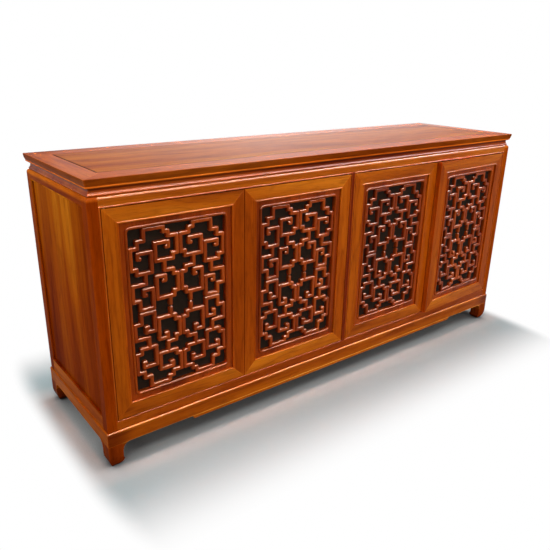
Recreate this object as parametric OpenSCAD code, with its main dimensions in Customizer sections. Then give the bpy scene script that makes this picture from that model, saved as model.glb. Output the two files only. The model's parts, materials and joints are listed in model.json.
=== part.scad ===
// Rosewood sideboard: a framed carcase on a low bracket base, with four inset
// doors whose panels are pierced fretwork of squared scrolls.
// Front faces -Y, the left end is -X, and the feet stand on Z = 0.

/* [Overall] */
// Length of the top, end to end
top_w = 1830; // [1600:10:2000]
// Depth of the top, front to back
top_d = 486; // [440:2:540]
// Height of the top surface above the floor
total_h = 838; // [780:2:900]

/* [Top] */
// Thickness of the top frame
top_t = 25; // [23:1:30]
// Width of the top frame's front and back rails
top_rail_w = 75; // [60:1:90]
// Width of the top frame's end rails
top_end_w = 62; // [50:1:75]
// How far the moulded edge draws in at its underside
top_undercut = 7.5; // [5:0.5:9]
// Radius of the small bead on the moulded edge
edge_bead_r = 2; // [1.5:0.1:2.5]
// Thickness of the floating top panel
top_panel_t = 14; // [12:1:16]
// Movement gap at each end of the floating top panel
panel_end_gap = 3; // [1:0.5:4]
// Gap along the long sides of the floating top panel
panel_side_gap = 1; // [0.5:0.5:2]
// Width of the battens under the top panel
batten_w = 40; // [30:1:60]
// Number of battens under the top panel
batten_count = 3; // [1:2:5]

/* [Waist] */
// Height of the hollow waist between carcase and top
waist_h = 20; // [18:1:26]
// Thickness of the waist strips, front to back
waist_t = 26; // [20:1:32]
// Radius of the waist's hollow
waist_r = 16; // [14:0.5:18]
// Depth of the waist's hollow
waist_sink = 4.5; // [3:0.5:5]
// How far the middle of the waist's hollow lies under the top
hollow_drop = 6; // [4:0.5:7]
// How far the waist's foot stands forward over the carcase's rounded edge
waist_step = 5; // [3:0.5:6]

/* [Carcase] */
// Set-back of the carcase faces from the edge of the top
case_inset = 3.5; // [2:0.5:5]
// Width of a corner post as seen from the front
post_w = 29; // [26:1:38]
// Depth of a corner post as seen from the end
post_d = 32; // [30:1:40]
// Thickness of the carcase rails
rail_t = 28; // [26:1:32]
// Height of the top rails
top_rail_h = 26; // [22:1:32]
// Height of the front sill
sill_h = 26; // [24:1:36]
// Height of the bottom rails of the ends and back
end_sill_h = 41; // [38:1:50]
// Width of the centre mullion
mullion_w = 10; // [8:1:20]
// Radius of the rounded top edge of the carcase
nose_r = 11; // [8:0.5:13]
// Thickness of the end panels and back panels
panel_t = 8; // [6:0.5:10]
// Recess of the end panels and back panels behind the posts
panel_recess = 6; // [4:0.5:8]
// Depth of the panel grooves in posts and rails
groove_d = 6.5; // [5:0.5:8]
// Length of the rail tenons
tenon_l = 12; // [8:1:12]
// Thickness of the rail tenons
tenon_t = 8; // [6:0.5:9]
// Width of the beads round the end panels
panel_bead_w = 5; // [4:0.5:7]
// Width of the back centre stile
back_stile_w = 60; // [40:1:80]

/* [Interior] */
// Thickness of the floor board
floor_t = 12; // [9:0.5:15]
// Thickness of the centre partition
partition_t = 18; // [14:1:22]
// Thickness of the shelves
shelf_t = 16; // [12:1:20]
// Height of the shelves' top faces above the floor
shelf_z = 466; // [300:1:600]
// Set-back of the shelves behind the doors
shelf_setback = 20; // [14:1:60]
// Width of the shelf cleats
cleat_w = 15; // [10:1:20]
// Height of the shelf cleats
cleat_h = 20; // [15:1:30]

/* [Base] */
// Height of the base, feet included
base_h = 116; // [110:1:130]
// Height of the aprons' lower edge above the floor
apron_clear = 72; // [66:1:80]
// Extra drop of the front apron between its cusps
apron_drop = 10; // [6:1:14]
// Distance of the apron's cusps from the ends of the base
cusp_x = 270; // [200:5:400]
// Thickness of the aprons
apron_t = 24; // [20:1:30]
// Radius of the rounded ledge on top of the base
ledge_r = 5; // [3:0.5:6]
// Radius of the curve between apron and foot
spandrel_r = 22; // [14:1:24]
// Side of the feet
foot_w = 44; // [40:1:50]
// Height at which the hoof feet start to draw in
hoof_h = 38; // [30:1:44]
// How far the hoof feet draw in at the floor
hoof_in = 11; // [6:1:14]
// Radius of the hoof's inner toe
toe_r = 20; // [14:1:24]
// How far the toe stands out behind the foot
toe_out = 3; // [1:0.5:4]

/* [Doors] */
// Thickness of the doors
door_t = 22; // [20.5:0.5:23]
// Clearance round each door
door_gap = 2; // [1.8:0.1:3]
// Width of the beads round the door openings
bead_w = 4.5; // [4:0.5:7]
// How far the beads stand out from the carcase face
bead_proud = 1; // [0.5:0.5:2]
// Width of the doors' stiles and rails
door_frame_w = 43; // [38:1:50]
// Radius of the bead along the inner edge of stiles and rails
frame_bead_r = 2.1; // [1.5:0.1:2.5]
// Width of the inner frame round the fretwork
inner_frame_w = 22.5; // [18:0.5:28]
// Depth at which the inner frame's flat lies below the door face
inner_sink = 5; // [4:0.5:6]
// Radius of the bead round the fretwork
inner_bead_r = 4.2; // [3:0.1:4.8]
// Radius of the inner frame's corners at the fretwork
corner_r = 8; // [5:0.5:10]
// Width of the rebate for the backing board
rebate_w = 8; // [5:0.5:12]
// How far door 4 stands ajar, in degrees
door_4_ajar = 2.5; // [0:0.5:5]

/* [Fretwork] */
// Width of the fretwork's bars
bar_w = 12; // [10:0.5:12.5]
// Thickness of the fretwork, front to back
bar_t = 12; // [9:0.5:12.5]
// Bevel along the front edges of the bars
bar_bevel = 3.2; // [1:0.2:4]
// Depth of the fretwork's front below the door face
fret_set = 4; // [3:0.1:4.5]
// Share of the half width taken by the inner scrolls
scroll_split = 0.52; // [0.49:0.01:0.55]
// Thickness of the dark backing board
backing_t = 4; // [3:0.5:4.5]

/* [Pivots and catches] */
// Radius of the pivot pins
pin_r = 2.5; // [2:0.1:3]
// Distance of the pivot axis from the door's hinge edge
pivot_in = 9; // [8:0.5:12]
// Distance of the pivot axis behind the door's face
pivot_back = 5.5; // [4.5:0.5:6]
// Depth of the pins in the door
pin_seat = 25; // [18:1:35]
// Depth of the pivot sockets in the rails
socket_d = 10; // [6:1:14]
// Radius of the steel strike discs
strike_r = 6; // [4:0.5:8]
// Thickness of the steel strike discs
strike_t = 1.5; // [1:0.5:2]
// Distance of the strike discs from the door's free edge
strike_in = 22; // [15:1:35]
// Length of a catch
catch_w = 80; // [70:1:110]
// How far a catch hangs below the top rail
catch_drop = 24; // [20:1:32]

/* [Hidden] */
$fn = 48;

// Finishes
rosewood = [0.52, 0.24, 0.09];
rosewood_red = [0.46, 0.18, 0.08];
rosewood_dark = [0.36, 0.14, 0.06];
interior_wood = [0.30, 0.16, 0.09];
black_stain = [0.05, 0.04, 0.04];
brass = [0.72, 0.55, 0.27];

// Clearances
fit = 0.1;           // each side of a tongue or tenon in its groove or mortise
mitre_gap = 0.05;    // glue line where two strips of one moulding meet
pin_fit = 0.05;      // round a pivot pin
end_fit = 0.3;       // past the end of a pin, tenon or tongue
catch_gap = 0.5;     // between a catch and its strike
over = 1;            // how far a cutting solid runs past what it cuts
deep = 50;           // more than the thickness of any moulded strip

// Heights
top_z = total_h - top_t;
case_top = top_z - waist_h;
top_rail_z = case_top - top_rail_h;
sill_z = base_h + sill_h;
end_sill_z = base_h + end_sill_h;
door_z = sill_z + bead_w + door_gap;
door_h = top_rail_z - bead_w - door_gap - door_z;

// Plan
half_w = top_w / 2;
half_d = top_d / 2;
case_x = half_w - case_inset;        // end faces of the carcase
case_y = half_d - case_inset;        // front and back faces of the carcase
post_x = case_x - post_w;            // inner face of a post, seen from the front
post_y = case_y - post_d;            // inner face of a post, seen from the end
rail_y = case_y - rail_t;            // inner face of the front and back rails
rail_x = case_x - rail_t;            // inner face of the end rails
panel_x = case_x - panel_recess;     // outer face of an end panel
panel_y = case_y - panel_recess;     // outer face of the back panels
waist_in = case_inset + nose_r - waist_step; // set-back of the waist strips' feet
waist_y = half_d - waist_in - waist_t;
bay_w = post_x - mullion_w / 2;      // width of a door opening
door_w = (bay_w - 2 * bead_w - 3 * door_gap) / 2;
tenon_shoulder = groove_d + 1.5;     // keeps the tenons clear of the panel grooves
tenon_mid = rail_t / 2;              // middle of the tenons behind the carcase face
tenon_lip = 4;                       // wood left above and below a tenon
mullion_shoulder = 2;                // wood left at each side of the mullion's tenons
stile_shoulder = 8;                  // wood left at each side of the back stile's tenons

// The floating panel's tongue in the top frame
tongue_l = 8;
tongue_t = 6;
tongue_lip = 4;                      // wood left above the groove
tongue_z = total_h - tongue_lip - tongue_t;

// Places of the doors
hinge_edge = post_x - bead_w - door_gap;
mullion_edge = mullion_w / 2 + bead_w + door_gap;
meeting_x = mullion_edge + door_w + door_gap / 2;
pivot_y = -case_y + pivot_back;
strike_drop = 10;

// The fretwork's half sizes, and the pitch of its columns and rows
field_x = door_w / 2 - door_frame_w - inner_frame_w;
field_z = door_h / 2 - door_frame_w - inner_frame_w;
seam_x = field_x * scroll_split;     // where the inner and outer scrolls touch
inner_cols = 5;
outer_cols = 6;
row_count = 19;
inner_pitch = (seam_x - bar_w) / inner_cols;
outer_pitch = (field_x - seam_x - bar_w) / outer_cols;
row_pitch = (field_z - bar_w) / row_count;
inner_t = fret_set + bar_t;          // depth of the inner frame's back
bead_step = 0.3;                     // flat left beside a bead

// Scrolls of one quarter of the fretwork, as [column, row] counted from its centre.
// Columns 0 to 5 belong to the inner scrolls and 6 to 12 to the outer ones.
crown_scroll = [
    [12, 14.9], [10, 14.9], [10, 16.4], [8, 16.4], [8, 19], [3, 19], [3, 17.9], [2, 17.9], [2, 16.7],
    [0, 16.7], [0, 12.4], [1, 12.4], [1, 11.2], [5, 11.2], [5, 15.4], [2, 15.4], [2, 14.2], [2.5, 14.2]
];
upper_scroll = [
    [12, 14.9], [12, 10], [10.5, 10], [10.5, 8.8], [6, 8.8], [6, 13.6], [10, 13.6], [10, 12.4], [9.4, 12.4]
];
inner_scroll = [
    [3, 11.2], [3, 8.6], [1, 8.6], [1, 7.4], [0, 7.4], [0, 3.2], [1, 3.2], [1, 2], [5, 2], [5, 7.4],
    [3, 7.4], [3, 6.2], [3.5, 6.2]
];
outer_scroll = [
    [8, 8.8], [8, 6.2], [12, 6.2], [12, 2.4], [10, 2.4], [10, 0], [6, 0], [6, 4.8], [8.7, 4.8],
    [8.7, 3.5], [8.1, 3.5]
];
middle_link = [[2, 2], [2, 0]];
scrolls = [crown_scroll, upper_scroll, inner_scroll, outer_scroll, middle_link];

function column_x(c) = c <= inner_cols
    ? bar_w / 2 + c * inner_pitch
    : seam_x + bar_w / 2 + (c - inner_cols - 1) * outer_pitch;
function row_z(r) = bar_w / 2 + r * row_pitch;

// A box between two corners
module block(low, high) {
    translate(low) cube(high - low);
}

// A profile drawn as [y, z], run along X
module along_x(x0, x1) {
    translate([x0, 0, 0]) rotate([90, 0, 90]) linear_extrude(x1 - x0) children();
}

// A profile drawn as [x, z], run along Y
module along_y(y0, y1) {
    translate([0, y1, 0]) rotate([90, 0, 0]) linear_extrude(y1 - y0) children();
}

// A profile drawn as [inward, z], run along the front edge of the top
module front_run(x0, x1) {
    translate([0, -half_d, 0]) along_x(x0, x1) children();
}

// A profile drawn as [inward, z], run along the left edge of the top
module left_run(y0, y1) {
    translate([-half_w, 0, 0]) along_y(y0, y1) children();
}

// Both ends of what is drawn at the left, and both sides of what is drawn at the front
module both_ends() {
    for (side = [0, 1]) mirror([side, 0, 0]) children();
}

module both_sides() {
    for (side = [0, 1]) mirror([0, side, 0]) children();
}

// The plan of a strip along the front, c deep, with mitred ends drawn back by a gap
module front_mitre(c, gap = 0) {
    x = half_w - gap;
    polygon([[-x, -half_d], [-x + c, -half_d + c], [x - c, -half_d + c], [x, -half_d]]);
}

// The plan of a strip along the left end, c wide, with mitred ends
module left_mitre(c) {
    polygon([[-half_w, -half_d], [-half_w + c, -half_d + c], [-half_w + c, half_d - c], [-half_w, half_d]]);
}

// The two upright members of a mitred frame w by h, from a profile drawn as [inward, depth]
module frame_stiles(w, h, band) {
    for (side = [0, 1]) translate([side * w, 0, 0]) mirror([side, 0, 0]) intersection() {
        linear_extrude(h) children();
        along_y(-deep, deep) polygon([[0, 0], [band, band], [band, h - band], [0, h]]);
    }
}

// The two level members of the same frame, drawn back from the mitres by a gap
module frame_rails(w, h, band, gap = 0) {
    for (side = [0, 1]) translate([0, 0, side * h]) mirror([0, 0, side]) intersection() {
        translate([w, 0, 0]) rotate([0, -90, 0]) linear_extrude(w) children();
        along_y(-deep, deep)
            polygon([[gap, 0], [band + gap, band], [w - band - gap, band], [w - gap, 0]]);
    }
}

// A rectangle w by h about the origin, with round corners
module round_rect(w, h, r) {
    square([w - 2 * r, h], center = true);
    square([w, h - 2 * r], center = true);
    for (x = [-1, 1], y = [-1, 1])
        translate([x * (w / 2 - r), y * (h / 2 - r)]) circle(r);
}

// The waste outside a convex quarter round whose corner lies at the origin, wood up and right of it
module round_over(r) {
    difference() {
        translate([-over, -over]) square(r + over);
        translate([r, r]) circle(r);
    }
}

// TOP

// Moulded edge of the top: an inward swept face with a small bead near its underside
module top_edge_profile(w) {
    fillet = 1;
    bead_lift = 1.6;
    face_h = top_t - fillet;
    face_r = (pow(face_h, 2) + pow(top_undercut, 2)) / (2 * top_undercut);
    bead_z = edge_bead_r + bead_lift;
    bead_x = face_r - sqrt(pow(face_r, 2) - pow(face_h - bead_z, 2));
    difference() {
        square([w, top_t]);
        difference() {
            translate([-over, -over]) square([top_undercut + 2 * over, face_h + over]);
            translate([face_r, face_h]) circle(face_r, $fn = 96);
            translate([bead_x + edge_bead_r / 3, bead_z]) circle(edge_bead_r);
        }
        polygon([[-over, top_t - fillet - over], [-over, top_t + over], [fillet + over, top_t + over]]);
    }
}

// Groove that holds the top panel's tongue
module tongue_groove() {
    x = half_w - top_end_w + tongue_l + end_fit;
    y = half_d - top_rail_w + tongue_l + end_fit;
    block([-x, -y, tongue_z - fit], [x, y, tongue_z + tongue_t + fit]);
}

module top_long_rail() {
    x = half_w;
    e = top_end_w;
    r = top_rail_w;
    difference() {
        intersection() {
            translate([0, 0, top_z]) front_run(-x, x) top_edge_profile(r);
            translate([0, -half_d, top_z]) linear_extrude(top_t)
                polygon([[-x, 0], [-x + e, e], [-x + e, r], [x - e, r], [x - e, e], [x, 0]]);
        }
        tongue_groove();
    }
}

module top_front_rail() {
    color(rosewood_red) top_long_rail();
}

module top_back_rail() {
    color(rosewood_red) mirror([0, 1, 0]) top_long_rail();
}

module top_end_rails() {
    color(rosewood_red) both_ends() difference() {
        intersection() {
            translate([0, 0, top_z]) left_run(-half_d, half_d) top_edge_profile(top_end_w);
            translate([0, 0, top_z]) linear_extrude(top_t) polygon([
                [-half_w, -half_d], [-half_w + top_end_w, -half_d + top_end_w],
                [-half_w + top_end_w, half_d - top_end_w], [-half_w, half_d]
            ]);
        }
        tongue_groove();
    }
}

module top_panel() {
    x = half_w - top_end_w;
    y = half_d - top_rail_w;
    color(rosewood) {
        block([-x + panel_end_gap, -y + panel_side_gap, total_h - top_panel_t],
              [x - panel_end_gap, y - panel_side_gap, total_h]);
        block([-x - tongue_l, -y - tongue_l, tongue_z], [x + tongue_l, y + tongue_l, tongue_z + tongue_t]);
    }
}

module top_battens() {
    y = half_d - top_rail_w;
    span = top_w - 2 * top_end_w;
    color(interior_wood) for (i = [1 : batten_count])
        translate([-span / 2 + i * span / (batten_count + 1), 0, 0])
            block([-batten_w / 2, -y, top_z], [batten_w / 2, y, total_h - top_panel_t]);
}

// WAIST

// Section of a waist strip, as [inward, z]: a hollow under the top, over a plain fillet
module waist_profile() {
    difference() {
        translate([waist_in, 0]) square([waist_t, waist_h]);
        translate([waist_in + waist_sink - waist_r, waist_h - hollow_drop]) circle(waist_r);
    }
}

module waist_moulding() {
    c = waist_in + waist_t;
    color(rosewood_red) translate([0, 0, case_top]) {
        both_sides() intersection() {
            front_run(-half_w, half_w) waist_profile();
            linear_extrude(waist_h) front_mitre(c, mitre_gap);
        }
        both_ends() intersection() {
            left_run(-half_d, half_d) waist_profile();
            linear_extrude(waist_h) left_mitre(c);
        }
    }
}

// CARCASE

// Section of a post or rail with its top edge rounded, as [inward, z]
module nose_profile(w, z0) {
    difference() {
        translate([case_inset, z0]) square([w, case_top - z0]);
        translate([case_inset, case_top]) mirror([0, 1]) round_over(nose_r);
    }
}

// An end tenon of a front rail, at the left post; grown, it is the mortise
module front_tenon(z0, z1, grow = 0) {
    y = -case_y + tenon_mid;
    block([-post_x - tenon_l - sign(grow) * end_fit, y - tenon_t / 2 - grow, z0 - grow],
          [-post_x + over, y + tenon_t / 2 + grow, z1 + grow]);
}

// An end tenon of a left end rail, at the front post
module end_tenon(z0, z1, grow = 0) {
    x = -case_x + tenon_mid;
    block([x - tenon_t / 2 - grow, -post_y - tenon_l - sign(grow) * end_fit, z0 - grow],
          [x + tenon_t / 2 + grow, -post_y + over, z1 + grow]);
}

upper_tenon = [top_rail_z + tenon_shoulder, case_top - nose_r];
sill_tenon = [base_h + tenon_lip, sill_z - tenon_lip];
lower_tenon = [base_h + tenon_lip, end_sill_z - tenon_shoulder];

// Groove of the left end panel, through posts and rails
module end_panel_groove() {
    block([-panel_x - fit, -post_y - groove_d, end_sill_z - groove_d],
          [-panel_x + panel_t + fit, post_y + groove_d, top_rail_z + groove_d]);
}

// Groove of the back panels, through posts and rails
module back_panel_groove() {
    block([-post_x - groove_d, panel_y - panel_t - fit, end_sill_z - groove_d],
          [post_x + groove_d, panel_y + fit, top_rail_z + groove_d]);
}

// The front left post, or a back post drawn in its place
module corner_post(front) {
    low = front ? sill_tenon : lower_tenon;
    difference() {
        intersection() {
            front_run(-case_x, -post_x) nose_profile(post_d, base_h);
            left_run(-case_y, -post_y) nose_profile(post_w, base_h);
        }
        front_tenon(upper_tenon[0], upper_tenon[1], fit);
        front_tenon(low[0], low[1], fit);
        end_tenon(upper_tenon[0], upper_tenon[1], fit);
        end_tenon(lower_tenon[0], lower_tenon[1], fit);
        end_panel_groove();
        if (!front) mirror([0, 1, 0]) back_panel_groove();
    }
}

module front_left_post() {
    color(rosewood) corner_post(true);
}

module front_right_post() {
    color(rosewood) mirror([1, 0, 0]) corner_post(true);
}

module back_left_post() {
    color(rosewood) mirror([0, 1, 0]) corner_post(false);
}

module back_right_post() {
    color(rosewood) mirror([1, 0, 0]) mirror([0, 1, 0]) corner_post(false);
}

// Sockets of the pivot pins, through the beads into the rails
module pivot_sockets() {
    reach = socket_d + bead_w + over;
    for (side = [-1, 1], x = [mullion_edge + pivot_in, hinge_edge - pivot_in])
        translate([side * x, pivot_y, 0]) {
            translate([0, 0, sill_z - socket_d]) cylinder(h = reach, r = pin_r + pin_fit);
            translate([0, 0, top_rail_z + socket_d - reach]) cylinder(h = reach, r = pin_r + pin_fit);
        }
}

// The mullion's stub tenons; grown, they are the mortises
module mullion_tenons(grow = 0) {
    half = mullion_w / 2 - mullion_shoulder + grow;
    y = -case_y + tenon_mid;
    reach = tenon_l + sign(grow) * end_fit;
    block([-half, y - tenon_t / 2 - grow, sill_z - reach],
          [half, y + tenon_t / 2 + grow, top_rail_z + reach]);
}

module front_top_rail() {
    color(rosewood) difference() {
        union() {
            front_run(-post_x, post_x) nose_profile(rail_t, top_rail_z);
            both_ends() front_tenon(upper_tenon[0], upper_tenon[1]);
        }
        pivot_sockets();
        mullion_tenons(fit);
    }
}

module front_sill() {
    color(rosewood) difference() {
        union() {
            block([-post_x, -case_y, base_h], [post_x, -rail_y, sill_z]);
            both_ends() front_tenon(sill_tenon[0], sill_tenon[1]);
        }
        pivot_sockets();
        mullion_tenons(fit);
        floor_seat();
    }
}

module centre_mullion() {
    color(rosewood) {
        block([-mullion_w / 2, -case_y, sill_z], [mullion_w / 2, -rail_y, top_rail_z]);
        mullion_tenons();
    }
}

module end_rails() {
    difference() {
        union() {
            left_run(-post_y, post_y) nose_profile(rail_t, top_rail_z);
            block([-case_x, -post_y, base_h], [-rail_x, post_y, end_sill_z]);
            both_sides() {
                end_tenon(upper_tenon[0], upper_tenon[1]);
                end_tenon(lower_tenon[0], lower_tenon[1]);
            }
        }
        end_panel_groove();
        floor_seat();
    }
}

module left_end_rails() {
    color(rosewood) end_rails();
}

module right_end_rails() {
    color(rosewood) mirror([1, 0, 0]) end_rails();
}

// The left end panel, with a mitred bead planted round it against the posts and rails
module end_panel() {
    reach = groove_d - end_fit;
    w = 2 * post_y;
    h = top_rail_z - end_sill_z;
    block([-panel_x, -post_y - reach, end_sill_z - reach],
          [-panel_x + panel_t, post_y + reach, top_rail_z + reach]);
    translate([-case_x, post_y, end_sill_z]) rotate(-90) {
        frame_stiles(w, h, panel_bead_w) bead_profile(panel_bead_w, panel_recess);
        frame_rails(w, h, panel_bead_w, mitre_gap) bead_profile(panel_bead_w, panel_recess);
    }
}

module left_end_panel() {
    color(rosewood) end_panel();
}

module right_end_panel() {
    color(rosewood) mirror([1, 0, 0]) end_panel();
}

// The back stile's stub tenons; grown, they are the mortises
module back_stile_tenons(grow = 0) {
    half = back_stile_w / 2 - stile_shoulder + grow;
    y = case_y - tenon_mid;
    reach = tenon_l + sign(grow) * end_fit;
    block([-half, y - tenon_t / 2 - grow, end_sill_z - reach],
          [half, y + tenon_t / 2 + grow, top_rail_z + reach]);
}

module back_rails() {
    color(rosewood_dark) difference() {
        mirror([0, 1, 0]) {
            front_run(-post_x, post_x) nose_profile(rail_t, top_rail_z);
            block([-post_x, -case_y, base_h], [post_x, -rail_y, end_sill_z]);
            both_ends() {
                front_tenon(upper_tenon[0], upper_tenon[1]);
                front_tenon(lower_tenon[0], lower_tenon[1]);
            }
        }
        back_panel_groove();
        back_stile_tenons(fit);
        floor_seat();
    }
}

module back_stile() {
    color(rosewood_dark) difference() {
        union() {
            block([-back_stile_w / 2, rail_y, end_sill_z], [back_stile_w / 2, case_y, top_rail_z]);
            back_stile_tenons();
        }
        both_ends() block([back_stile_w / 2 - groove_d, panel_y - panel_t - fit, end_sill_z - over],
                          [back_stile_w / 2 + over, panel_y + fit, top_rail_z + over]);
    }
}

module back_panels() {
    reach = groove_d - end_fit;
    color(interior_wood) both_ends()
        block([back_stile_w / 2 - reach, panel_y - panel_t, end_sill_z - reach],
              [post_x + reach, panel_y, top_rail_z + reach]);
}

// INTERIOR

// Room for the edges of the floor board in the rails round it
module floor_seat() {
    x = rail_x + groove_d;
    y = rail_y + groove_d;
    block([-x, -y, sill_z - floor_t], [x, y, sill_z]);
}

module floor_board() {
    x = rail_x + groove_d - end_fit;
    y = rail_y + groove_d - end_fit;
    color(interior_wood) difference() {
        block([-x, -y, sill_z - floor_t], [x, y, sill_z]);
        both_ends() both_sides()
            block([post_x - end_fit, post_y - end_fit, 0], [half_w, half_d, total_h]);
    }
}

// The partition stands on the floor, fills the bay behind the mullion and steps in at the waist
module partition() {
    half = partition_t / 2;
    color(interior_wood) {
        block([-half, -rail_y, sill_z], [half, rail_y, case_top]);
        block([-half, -waist_y + end_fit, sill_z], [half, waist_y - end_fit, top_z]);
    }
}

module shelf() {
    block([partition_t / 2 + end_fit, -case_y + door_t + shelf_setback, shelf_z - shelf_t],
          [post_x - end_fit, rail_y - end_fit, shelf_z]);
}

module left_shelf() {
    color(interior_wood) mirror([1, 0, 0]) shelf();
}

module right_shelf() {
    color(interior_wood) shelf();
}

module shelf_cleats() {
    z0 = shelf_z - shelf_t - cleat_h;
    z1 = shelf_z - shelf_t;
    swing_room = 5;
    color(interior_wood) both_ends() {
        block([partition_t / 2, -rail_y, z0], [partition_t / 2 + cleat_w, rail_y, z1]);
        block([post_x - cleat_w, -case_y + door_t + swing_room, z0], [post_x, rail_y, z1]);
    }
}

// Bead, as [inward, depth]: a round nose on a strip w wide
module bead_profile(w, depth) {
    round_r = w * 0.6;
    intersection() {
        square([w, depth]);
        union() {
            translate([w / 2, round_r]) circle(round_r);
            translate([0, round_r]) square([w, depth]);
        }
    }
}

// The four mitred strips that line the right door opening
module opening_bead() {
    h = top_rail_z - sill_z;
    depth = bead_proud + door_t;
    difference() {
        translate([mullion_w / 2, -case_y - bead_proud, sill_z]) {
            frame_stiles(bay_w, h, bead_w) bead_profile(bead_w, depth);
            frame_rails(bay_w, h, bead_w, mitre_gap) bead_profile(bead_w, depth);
        }
        pivot_sockets();
    }
}

module left_opening_bead() {
    color(rosewood_red) mirror([1, 0, 0]) opening_bead();
}

module right_opening_bead() {
    color(rosewood_red) opening_bead();
}

// A double magnetic catch behind each pair of doors, hung from the top rail
module door_catches() {
    front = -case_y + door_t + strike_t + catch_gap;
    body = 12;
    color(black_stain) for (side = [-1, 1]) translate([side * meeting_x, 0, 0])
        along_x(-catch_w / 2, catch_w / 2) polygon([
            [front, top_rail_z - catch_drop], [front, top_rail_z], [-rail_y, top_rail_z],
            [-rail_y, top_rail_z + body], [-rail_y + body, top_rail_z + body],
            [-rail_y + body, top_rail_z - catch_drop]
        ]);
}

// BASE

// Section of an apron, as [inward, z]
module apron_profile() {
    difference() {
        translate([0, apron_clear - spandrel_r]) square([apron_t, base_h - apron_clear + spandrel_r]);
        translate([0, base_h]) mirror([0, 1]) round_over(ledge_r);
    }
}

// Outline of an apron as long as 2 * half: straight, with a spandrel against each foot
module apron_outline(half) {
    tip = 1.5;
    translate([-half, apron_clear]) square([2 * half, base_h - apron_clear]);
    for (side = [0, 1]) mirror([side, 0]) difference() {
        translate([foot_w - half, apron_clear - spandrel_r]) square([spandrel_r + tip, spandrel_r]);
        translate([foot_w - half + tip + spandrel_r, apron_clear - spandrel_r]) circle(spandrel_r);
    }
}

// The lower middle of the front apron, with a cove at each end of it
module apron_middle() {
    end = half_w - cusp_x;
    difference() {
        translate([-end, apron_clear - apron_drop]) square([2 * end, apron_drop + over]);
        for (side = [-1, 1])
            translate([side * end, apron_clear - apron_drop]) circle(apron_drop);
    }
}

module long_apron() {
    intersection() {
        front_run(-half_w, half_w) apron_profile();
        along_y(-half_d, -half_d + apron_t) children();
        linear_extrude(base_h) front_mitre(apron_t);
    }
}

module end_apron() {
    intersection() {
        left_run(-half_d, half_d) apron_profile();
        along_x(-half_w, -half_w + apron_t) apron_outline(half_d);
        linear_extrude(base_h) left_mitre(apron_t);
    }
}

module front_apron() {
    color(rosewood) long_apron() {
        union() {
            apron_outline(half_w);
            apron_middle();
        }
    }
}

module back_apron() {
    color(rosewood_dark) mirror([0, 1, 0]) long_apron() apron_outline(half_w);
}

module left_apron() {
    color(rosewood) end_apron();
}

module right_apron() {
    color(rosewood) mirror([1, 0, 0]) end_apron();
}

// Hoof foot seen from the front, as [inward, z]
module foot_profile() {
    sweep_r = (pow(hoof_h, 2) + pow(hoof_in, 2)) / (2 * hoof_in);
    heel = foot_w + toe_out - toe_r;
    difference() {
        union() {
            translate([0, toe_r]) square([foot_w, apron_clear - toe_r]);
            square([heel, toe_r + over]);
            intersection() {
                translate([heel, toe_r]) circle(toe_r);
                translate([heel - over, 0]) square([toe_r + 2 * over, toe_r]);
            }
        }
        difference() {
            translate([-over, -over]) square([hoof_in + 2 * over, hoof_h + over]);
            translate([sweep_r, hoof_h]) circle(sweep_r, $fn = 96);
        }
    }
}

// The front left foot: carved on both faces, with a block behind the aprons
module foot() {
    intersection() {
        left_run(-half_d - over, -half_d + foot_w + toe_out) foot_profile();
        front_run(-half_w - over, -half_w + foot_w + toe_out) foot_profile();
    }
    block([-half_w + apron_t, -half_d + apron_t, apron_clear - over],
          [-half_w + foot_w, -half_d + foot_w, base_h]);
}

module front_left_foot() {
    color(rosewood_red) foot();
}

module front_right_foot() {
    color(rosewood_red) mirror([1, 0, 0]) foot();
}

module back_left_foot() {
    color(rosewood_red) mirror([0, 1, 0]) foot();
}

module back_right_foot() {
    color(rosewood_red) mirror([1, 0, 0]) mirror([0, 1, 0]) foot();
}

// DOORS
// A door is drawn with its hinge edge at x = 0, its face at y = 0 and its foot at z = 0.

module place_door(n) {
    edge = [-hinge_edge, -mullion_edge, mullion_edge, hinge_edge][n - 1];
    flip = [0, 1, 0, 1][n - 1];
    swing = n == 4 ? door_4_ajar : 0;
    translate([edge, -case_y, door_z]) mirror([flip, 0, 0])
        translate([pivot_in, pivot_back, 0]) rotate(-swing) translate([-pivot_in, -pivot_back, 0])
            children();
}

// Stile and rail section: a flat face, a bead at the inner edge and a rebate behind
module door_frame_profile() {
    difference() {
        union() {
            square([door_frame_w, door_t]);
            translate([door_frame_w - bead_step - frame_bead_r, frame_bead_r / 2]) circle(frame_bead_r);
        }
        translate([door_frame_w - rebate_w, inner_t]) square([rebate_w + over, door_t]);
    }
}

// Holes for the pivot pins in the door
module pivot_bores() {
    for (z = [-over, door_h - pin_seat - end_fit])
        translate([pivot_in, pivot_back, z]) cylinder(h = pin_seat + end_fit + over, r = pin_r + pin_fit);
}

module door_stiles(n) {
    color(rosewood) place_door(n) difference() {
        frame_stiles(door_w, door_h, door_frame_w) door_frame_profile();
        pivot_bores();
    }
}

module door_rails(n) {
    color(rosewood) place_door(n) difference() {
        frame_rails(door_w, door_h, door_frame_w) door_frame_profile();
        pivot_bores();
    }
}

// The bead round the fretwork: four straight rods and four quarter turns
module fret_bead() {
    out = inner_bead_r + bead_step;
    straight_x = field_x - corner_r;
    straight_z = field_z - corner_r;
    for (side = [-1, 1]) {
        translate([side * (field_x + out), 0, -straight_z])
            cylinder(h = 2 * straight_z, r = inner_bead_r, $fn = 32);
        translate([-straight_x, 0, side * (field_z + out)]) rotate([0, 90, 0])
            cylinder(h = 2 * straight_x, r = inner_bead_r, $fn = 32);
    }
    for (sx = [0, 1], sz = [0, 1]) mirror([sx, 0, 0]) mirror([0, 0, sz])
        translate([straight_x, 0, straight_z]) rotate([90, 0, 0]) rotate_extrude(angle = 90)
            translate([corner_r + out, 0]) circle(inner_bead_r, $fn = 32);
}

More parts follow.
